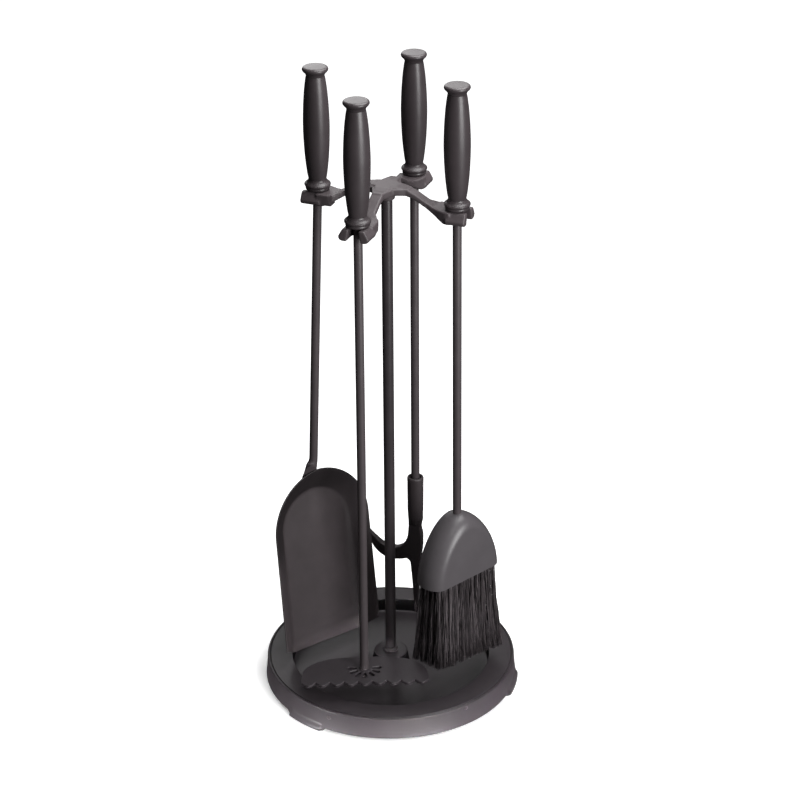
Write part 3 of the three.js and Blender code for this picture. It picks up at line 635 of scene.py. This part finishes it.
def pan_point(t, s):
    """A point of the sheet's middle: s is 0 on the spine, 1 to 2 in the fold, 3 at the free edge."""
    fold, edge, spine = (np.asarray(p, float) for p in pan_contour(t))
    reach = fold_reach(t)
    fold_in = fold + (spine - fold) * reach / np.linalg.norm(spine - fold)
    fold_out = fold + (edge - fold) * reach / np.linalg.norm(edge - fold)
    if s <= 1:
        return spine + (fold_in - spine) * s
    if s >= 2:
        return fold_out + (edge - fold_out) * (s - 2)
    k = s - 1
    first = fold_in + (fold - fold_in) * k
    return first + (fold + (fold_out - fold) * k - first) * k


def pan_normal(t, s):
    """The sheet's normal on its open side."""
    if s <= 1:
        return np.array((0.0, 0.0, 1.0))
    d = 1e-3
    along = pan_point(min(t + d, 1), s) - pan_point(max(t - d, 0), s)
    outward = pan_point(t, s + d) - pan_point(t, s - d)
    n = np.cross(outward, along)
    n /= np.linalg.norm(n)
    return -n if n[2] < 0 else n


def build_pan():
    """The pressed sheet, with painted shade on its back wall as a point attribute."""
    rows = PAN_ROWS
    stations = [0, 0.25, 0.5, 0.75, 1, 1.12, 1.25, 1.37, 1.5, 1.62, 1.75, 1.87, 2, 2.25, 2.5,
                2.75, 3]
    crossing = [(False, s) for s in reversed(stations)] + [(True, s) for s in stations[1:]]
    cols = len(crossing)
    layers = []
    for offset in (PAN_SHEET / 2, -PAN_SHEET / 2):
        layer = []
        for i in range(rows + 1):
            left = 0.5 * i / rows
            for mirrored, s in crossing:
                t = 1 - left if mirrored and i < rows else left
                layer.append(pan_point(t, s) + pan_normal(t, s) * offset)
        layers.append(layer)
    count = len(layers[0])
    verts = layers[0] + layers[1]
    faces = grid_faces(rows + 1, cols, flip=True)
    faces += grid_faces(rows + 1, cols, offset=count)
    rim = [i * cols for i in range(rows, -1, -1)] + list(range(1, cols))
    rim += [i * cols + cols - 1 for i in range(1, rows + 1)]
    for a, b in zip(rim, rim[1:]):
        faces.append([a, b, count + b, count + a])
    pan = new_object("pan_pressing", verts, faces, SHEET, "shovel", ["shovel_pan"], PAN_MATRIX)
    # painted shade: darker toward the arch and up the back wall past the fold
    painted_wall_shade = []
    for i in range(rows + 1):
        for mirrored, s in crossing:
            start = WALL_SHADE_RIGHT if mirrored else WALL_SHADE_LEFT
            fade = smooth_step((0.5 * i / rows - start) / WALL_SHADE_FADE)
            painted_wall_shade.append(fade * smooth_step((s - WALL_SHADE_FOLD) / WALL_SHADE_FOLD_FADE))
    layer = pan.data.attributes.new("painted_wall_shade", "FLOAT", "POINT")
    layer.data.foreach_set("value", painted_wall_shade + painted_wall_shade)
    weld = pan.modifiers.new("weld", "WELD")
    weld.merge_threshold = 0.02 * MM
    edge = pan.modifiers.new("edge", "BEVEL")
    edge.width = 0.5 * MM
    edge.segments = 2
    edge.limit_method = "ANGLE"
    edge.angle_limit = math.radians(60)


build_pan()

SHAFT_SWING, SWING_Z = 17.6, 250        # the bar has swung back this far at this height
BAR_HEIGHTS = (540, 480, 420, 360, 300, 265)
# above the weld and half width: the end spreads to the left, its right edge stays straight
BAR_END = ((30, ROD_R), (22, ROD_R), (18, 4.85), (15.5, 5.2), (13.5, 5.8), (11.5, 6.6), (10, 7.3),
           (0, 10.5))


def build_shovel_shaft():
    """The bar runs down behind the pan, spreads a little and ends flat on the back wall."""
    front = Vector((math.sin(PAN_HEADING), -math.cos(PAN_HEADING), 0))
    slope = SHAFT_SWING / (HANG_Z - SWING_Z)
    top = AXIS["shovel"] + Vector((0, 0, ROD_TOP_Z))
    axis = Vector((0, 0, 1)) + front * slope
    wall_up = (UP * BACK_OUT + OUT * BACK_RISE).normalized()
    wall_out = wall_up.cross(ACROSS)
    wall_point = PAN_ORIGIN + UP * PAN_ARCH + wall_out * (PAN_SHEET / 2 + 0.3)

    def at(z):
        return AXIS["shovel"] - front * (HANG_Z - z) * slope + Vector((0, 0, z))

    weld_z = HANG_Z + (wall_point - at(HANG_Z)).dot(wall_out) / axis.dot(wall_out)
    path = [top] + [at(z) for z in BAR_HEIGHTS]
    widths = [ROD_R] * len(path)
    for up, half in BAR_END:
        path.append(at(weld_z + up) - ACROSS * (half - ROD_R))
        widths.append(half)
    verts, faces = swept(path, [(half, ROD_R) for half in widths], ROD_SIDES, ACROSS)
    for i in range(len(verts) - ROD_SIDES, len(verts)):
        verts[i] -= axis * ((verts[i] - wall_point).dot(wall_out) / axis.dot(wall_out))
    new_object("shovel_bar", verts, faces, ROD, "shovel", ["shovel_shaft"], sharp_angle=50)


build_shovel_shaft()

# ---------------------------------------------------------------- ash rake
RAKE_HEADING = math.radians(24.9)
RAKE_HALF = 70
RAKE_DEPTH = 48.9
RAKE_ROOT_Y = -25.4
TOOTH_HEIGHT = 6.3
TOOTH_FULLNESS = 0.65
RAKE_THICK = 3.6
RAKE_TEETH = 9
RAKE_POWER = 2.9                        # 2 would make the back edge half an ellipse
RAKE_ARC_STEPS = 96
RAKE_TOOTH_STEPS = 20
RAKE_EDGE_ROUND = 0.6
SLOT_COUNT, SLOT_PITCH = 7, 31          # slots around the rod, and degrees between them


def rake_outline():
    """A rounded back edge, then the teeth along the straight front edge."""
    points = []
    for i in range(RAKE_ARC_STEPS + 1):
        a = math.pi * i / RAKE_ARC_STEPS
        reach = abs(math.cos(a)) ** (2 / RAKE_POWER) * math.copysign(1, math.cos(a))
        points.append((RAKE_HALF * reach,
                       RAKE_ROOT_Y + RAKE_DEPTH * abs(math.sin(a)) ** (2 / RAKE_POWER)))
    steps = RAKE_TOOTH_STEPS * RAKE_TEETH
    for i in range(1, steps):
        swell = 0.5 - 0.5 * math.cos(2 * math.pi * RAKE_TEETH * i / steps)
        points.append((RAKE_HALF * (2 * i / steps - 1),
                       RAKE_ROOT_Y - TOOTH_HEIGHT * swell ** TOOTH_FULLNESS))
    return points


def rake_slot(angle):
    """A narrow petal that points away from the rod."""
    c, s = math.cos(angle), math.sin(angle)
    slot = spline([(8.2, 0), (9, 1.2), (13, 1.8), (17.3, 2.4), (19, 0), (17.3, -2.4),
                   (13, -1.8), (9, -1.2), (8.2, 0)], 0.8)[:-1]
    return [(x * c - y * s, x * s + y * c) for x, y in slot]


def build_rake():
    """The slotted plate, filled from its outline and rounded along its edges."""
    curve = bpy.data.curves.new("rake_outline", "CURVE")
    curve.dimensions = "2D"
    curve.fill_mode = "BOTH"
    curve.extrude = (RAKE_THICK / 2 - RAKE_EDGE_ROUND) * MM
    curve.bevel_depth = RAKE_EDGE_ROUND * MM
    curve.bevel_resolution = 2
    curve.offset = -RAKE_EDGE_ROUND * MM
    loops = [rake_outline()]
    for k in range(SLOT_COUNT):
        loops.append(rake_slot(math.radians(-90 + SLOT_PITCH * (k - SLOT_COUNT // 2))))
    for loop in loops:
        line = curve.splines.new("POLY")
        line.points.add(len(loop) - 1)
        for point, (x, y) in zip(line.points, loop):
            point.co = (x * MM, y * MM, 0, 1)
        line.use_cyclic_u = True
    holder = bpy.data.objects.new("rake_outline", curve)
    bpy.context.scene.collection.objects.link(holder)
    bpy.context.view_layer.update()
    mesh = bpy.data.meshes.new_from_object(holder.evaluated_get(
        bpy.context.evaluated_depsgraph_get()))
    bpy.data.objects.remove(holder)
    place = Matrix.Translation(AXIS["rake"] * MM + Vector((0, 0, RAKE_TOP_Z - RAKE_THICK / 2)) * MM)
    mesh.transform(place @ Matrix.Rotation(RAKE_HEADING, 4, "Z"))
    blade = bpy.data.objects.new("rake_plate", mesh)
    bpy.context.scene.collection.objects.link(blade)
    mesh.materials.clear()
    mesh.materials.append(BASE)
    mesh.polygons.foreach_set("use_smooth", [True] * len(mesh.polygons))
    sharpen(blade, 35)
    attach(blade, "rake")
    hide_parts("rake_blade")


build_rake()

# ---------------------------------------------------------------- brush
BRUSH_HEADING = math.radians(65)
FACE_HALF = 38.0
END_BULGE = 14.0
HALF_THICK = 19.4
HEAD_BOTTOM = 147.5
HEAD_TOP = 223.0
CROWNING = 16.0
HEAD_POWER = 1.7
HEAD_SHIFT = 0.6
POCKET_HALF = (43.0, 16.2)
POCKET_ROOF = 163.5
BRUSH_MATRIX = (
    LEAN["brush"] @ Matrix.Translation(AXIS["brush"])
    @ Matrix.Rotation(BRUSH_HEADING, 4, "Z") @ Matrix.Translation(Vector((HEAD_SHIFT, 0, 0)))
)


def band_faces(first, second):
    """Quads between two loops of vertex numbers; repeated vertices leave triangles."""
    faces = []
    count = len(first)
    for i in range(count):
        n = (i + 1) % count
        ring = [first[i], first[n], second[n], second[i]]
        corners = [v for k, v in enumerate(ring) if v not in ring[:k]]
        if len(corners) > 2:
            faces.append(corners)
    return faces


def build_brush_head():
    """A half dome between two flat faces, with rounded edges and a pocket for the fibres."""
    stations = [-0.998, -0.99, -0.975, -0.95, -0.915, -0.87, -0.81, -0.73, -0.63, -0.51, -0.36,
                -0.18, 0]
    stations += [-v for v in reversed(stations[:-1])]
    steps = 96
    cols = steps + 1
    verts = []
    for v in stations:
        roundness = math.sqrt(1 - v * v)
        half = FACE_HALF + END_BULGE * roundness
        height = HEAD_TOP - HEAD_BOTTOM - CROWNING * (1 - roundness)
        for i in range(cols):
            a = math.pi * i / steps
            c = math.copysign(abs(math.cos(a)) ** (2 / HEAD_POWER), math.cos(a))
            s = abs(math.sin(a)) ** (2 / HEAD_POWER)
            verts.append((half * c, v * HALF_THICK, HEAD_BOTTOM + height * s))
    faces = grid_faces(len(stations), cols)
    last = (len(stations) - 1) * cols
    faces.append(list(reversed(range(cols))))
    faces.append([last + i for i in range(cols)])
    outer = [k * cols for k in range(len(stations))]
    outer += [k * cols + steps for k in reversed(range(len(stations)))]
    pocket_x, pocket_y = POCKET_HALF
    known = {}

    def pocket_vertex(vertex, z):
        x, y, _ = verts[vertex]
        key = (max(-pocket_x, min(pocket_x, x)), max(-pocket_y, min(pocket_y, y)), z)
        if key not in known:
            known[key] = len(verts)
            verts.append(key)
        return known[key]

    mouth = [pocket_vertex(v, HEAD_BOTTOM) for v in outer]
    roof = [pocket_vertex(v, POCKET_ROOF) for v in outer]
    faces += band_faces(mouth, outer) + band_faces(roof, mouth)
    faces.append([v for k, v in enumerate(roof) if v not in roof[:k]])
    new_object("brush_head_shell", verts, faces, MOULDING, "brush", ["brush_head"],
               BRUSH_MATRIX, sharp_angle=35)


build_brush_head()

TUFT_COLUMNS, TUFT_ROWS = 11, 4
TUFT_TOP = (39.9, 12.4)
TUFT_R = 2.7
TUFT_BOTTOM = (47.5, 17.5)
TUFT_REACH = (49.0, 21.0)
TUFT_FLOOR = 43.0
TUFT_SLOPE = -0.08
STRANDS_PER_TUFT = 115
STRAND_LEVELS = (0, 0.15, 0.3, 0.46, 0.62, 0.8, 1)
STRAND_SIDES = 3
TIP_SPREAD = (3.4, 2.2)                 # scatter of one tuft's tips
TUFT_LEAN = (1.4, 0.8)                  # scatter of whole tufts


def fibre(root, tip, wave, ripple, spin, width):
    """One wavy, tapering fibre with its two ends closed."""
    sides = STRAND_SIDES
    verts, faces = [], []
    for level in STRAND_LEVELS:
        bend = level ** 1.15
        sway = wave * level * math.sin(level * 5 + spin)
        sway += ripple * math.sin(level * 13 + 2 * spin)
        x = root[0] + (tip[0] - root[0]) * bend + sway
        y = root[1] + (tip[1] - root[1]) * bend + 0.7 * wave * math.cos(level * 6 + spin)
        z = root[2] + (tip[2] - root[2]) * level
        r = width * (1 - 0.4 * level * level)
        for k in range(sides):
            a = spin + 2 * math.pi * k / sides
            verts.append((x + r * math.cos(a), y + r * math.sin(a), z))
    for i in range(len(STRAND_LEVELS) - 1):
        for k in range(sides):
            n = (k + 1) % sides
            a = sides * i
            faces.append([a + k, a + sides + k, a + sides + n, a + n])
    last = len(verts) - sides
    faces.append([last, last + 2, last + 1])
    faces.append([0, 1, 2])
    return verts, faces


def build_bristles():
    """Stiff wavy fibres set in rows of tufts, merging toward their ragged tips."""
    rng = random.Random(7)
    verts, faces, tones = [], [], []
    for column in range(TUFT_COLUMNS):
        for row in range(TUFT_ROWS):
            u = 2 * column / (TUFT_COLUMNS - 1) - 1
            w = 2 * row / (TUFT_ROWS - 1) - 1
            tuft_x = u * TUFT_TOP[0] + rng.uniform(-0.5, 0.5)
            tuft_y = w * TUFT_TOP[1]
            lean_x, lean_y = rng.gauss(0, TUFT_LEAN[0]), rng.gauss(0, TUFT_LEAN[1])
            tuft_tone, tuft_drop = rng.random(), abs(rng.gauss(0, 2.0))
            for _ in range(STRANDS_PER_TUFT):
                reach, turn = math.sqrt(rng.random()), rng.uniform(0, 2 * math.pi)
                x0 = tuft_x + TUFT_R * reach * math.cos(turn)
                y0 = tuft_y + TUFT_R * reach * math.sin(turn)
                x1 = u * TUFT_BOTTOM[0] + lean_x + rng.gauss(0, TIP_SPREAD[0])
                y1 = w * TUFT_BOTTOM[1] + lean_y + rng.gauss(0, TIP_SPREAD[1])
                x1 = max(-TUFT_REACH[0], min(TUFT_REACH[0], x1))
                y1 = max(-TUFT_REACH[1], min(TUFT_REACH[1], y1))
                z0 = HEAD_BOTTOM + 7
                z1 = TUFT_FLOOR + TUFT_SLOPE * x1 + tuft_drop + rng.uniform(0, 3.0)
                wave, ripple = rng.uniform(-1.7, 1.7), rng.uniform(-0.9, 0.9)
                spin, width = rng.uniform(0, 6), rng.uniform(0.25, 0.48)
                root, tip = (x0, y0, z0), (x1, y1, z1)
                strand, strand_faces = fibre(root, tip, wave, ripple, spin, width)
                faces += [[len(verts) + k for k in face] for face in strand_faces]
                verts += strand
                tone = 0.15 * tuft_tone + 0.85 * rng.random() ** 2.2
                tones.extend([tone] * len(strand))
    tuft = new_object("bristle_tuft", verts, faces, BRISTLE, "brush", ["brush_bristles"],
                      BRUSH_MATRIX)
    tone_layer = tuft.data.attributes.new("strand_tone", "FLOAT", "POINT")
    tone_layer.data.foreach_set("value", tones)


build_bristles()

# ---------------------------------------------------------------- CAD nodes that stay
for node_name, finish in (("base_washer", FIXING), ("base_nut", FIXING), ("rake_nut", FORGING),
                          ("brush_block", MOULDING), ("shovel_stud", ROD)):
    NODES[node_name].data.materials.clear()
    NODES[node_name].data.materials.append(finish)

# ---------------------------------------------------------------- camera, light, floor
CAMERA_PLACE = Vector((0.89705, -2.19575, 1.54093))
CAMERA_AZIMUTH = math.radians(21.925)
CAMERA_PITCH = math.radians(26.766)
CAMERA_ROLL = math.radians(-0.381)
CAMERA_LENS, SENSOR_WIDTH = 111.19, 36
FLOOR_HALF = 9
GLOW_INNER, GLOW_OUTER = 0.14, 0.17     # the floor's glow rises between these radii
# the dimmer glow close round the stand is a painted shadow
GLOW_IN_PAINTED_SHADOW, GLOW_AROUND = 0.35, 1.0
WORLD_STRENGTH = 0.03
LIGHTS = (
    # name, place, target, size, watts, spread
    ("key", (1.5, -0.8, 0.75), (0, 0, 0.35), (0.9, 1.2), 36, 180),
    ("overhead", (0.15, 0.1, 1.15), (0.03, 0, 0.6), (0.5, 0.5), 6.2, 180),
    ("back_top", (-0.32, 0.8, 1.15), (0, 0, 0.68), (0.8, 0.4), 0.29, 60),
    ("back_soft", (-1.3, 1.7, 1.2), (0, 0, 0.3), (1.2, 0.8), 6, 180),
    ("front_top", (0.5, -1.3, 2.2), (0, 0, 0.3), (0.4, 0.4), 5, 180),
    ("front_fill", (-0.55, -0.95, 0.05), (0, 0, -0.005), (0.6, 0.03), 0.17, 6),
    ("side_fill", (0.75, -0.75, 0.05), (0, 0, -0.005), (0.5, 0.03), 0.24, 6),
)


def build_camera():
    """The fitted camera, from its place, heading, pitch and roll."""
    camera = bpy.data.cameras.new("camera")
    camera.lens = CAMERA_LENS
    camera.sensor_width = SENSOR_WIDTH
    camera.clip_end = 60
    holder = bpy.data.objects.new("camera", camera)
    bpy.context.scene.collection.objects.link(holder)
    right = Vector((math.cos(CAMERA_AZIMUTH), math.sin(CAMERA_AZIMUTH), 0))
    forward = Vector((
        -math.sin(CAMERA_AZIMUTH) * math.cos(CAMERA_PITCH),
        math.cos(CAMERA_AZIMUTH) * math.cos(CAMERA_PITCH),
        -math.sin(CAMERA_PITCH),
    ))
    up = right.cross(forward)
    x = right * math.cos(CAMERA_ROLL) + up * math.sin(CAMERA_ROLL)
    y = up * math.cos(CAMERA_ROLL) - right * math.sin(CAMERA_ROLL)
    turn = Matrix((x, y, -forward)).transposed()
    holder.matrix_world = Matrix.Translation(CAMERA_PLACE) @ turn.to_4x4()
    bpy.context.scene.camera = holder


def area_light(name, place, target, size, power, spread):
    """A rectangular light in watts, aimed at a target; its spread is in degrees."""
    light = bpy.data.lights.new(name, "AREA")
    light.shape = "RECTANGLE"
    light.size, light.size_y = size
    light.energy = power
    light.spread = math.radians(spread)
    holder = bpy.data.objects.new(name, light)
    bpy.context.scene.collection.objects.link(holder)
    holder.visible_camera = False
    direction = Vector(target) - Vector(place)
    holder.matrix_world = (
        Matrix.Translation(Vector(place)) @ direction.to_track_quat("-Z", "Y").to_matrix().to_4x4()
    )


def build_floor():
    """A white floor that lights nothing and is seen in no reflection."""
    size = FLOOR_HALF
    mesh = bpy.data.meshes.new("floor")
    mesh.from_pydata([(-size, -size, 0), (size, -size, 0), (size, size, 0), (-size, size, 0)],
                     [], [[0, 1, 2, 3]])
    floor = bpy.data.objects.new("floor", mesh)
    bpy.context.scene.collection.objects.link(floor)
    material = bpy.data.materials.new("floor_white")
    material.use_nodes = True
    shader = material.node_tree.nodes["Principled BSDF"]
    shader.inputs["Base Color"].default_value = (0.9, 0.9, 0.9, 1)
    shader.inputs["Roughness"].default_value = 0.9
    shader.inputs["Specular IOR Level"].default_value = 0.0
    shader.inputs["Emission Color"].default_value = (1, 1, 1, 1)
    # the backdrop glows evenly away from the stand and falls off under it, a painted shadow round
    # the stand's foot that lets the lamps' own shadows show there
    nodes, links = material.node_tree.nodes, material.node_tree.links
    place = nodes.new("ShaderNodeTexCoord")
    distance = nodes.new("ShaderNodeVectorMath")
    distance.operation = "LENGTH"
    links.new(place.outputs["Object"], distance.inputs[0])
    glow = nodes.new("ShaderNodeMapRange")
    glow.interpolation_type = "SMOOTHSTEP"
    glow.inputs["From Min"].default_value = GLOW_INNER
    glow.inputs["From Max"].default_value = GLOW_OUTER
    glow.inputs["To Min"].default_value = GLOW_IN_PAINTED_SHADOW
    glow.inputs["To Max"].default_value = GLOW_AROUND
    links.new(distance.outputs["Value"], glow.inputs["Value"])
    links.new(glow.outputs["Result"], shader.inputs["Emission Strength"])
    mesh.materials.append(material)
    floor.visible_diffuse = False
    floor.visible_glossy = False


def build_world(strength):
    world = bpy.data.worlds.new("studio")
    world.use_nodes = True
    world.node_tree.nodes["Background"].inputs["Color"].default_value = (1, 1, 1, 1)
    world.node_tree.nodes["Background"].inputs["Strength"].default_value = strength
    bpy.context.scene.world = world


build_camera()
build_floor()
build_world(WORLD_STRENGTH)
for lamp in LIGHTS:
    area_light(*lamp)
bpy.context.scene.view_settings.view_transform = "Standard"
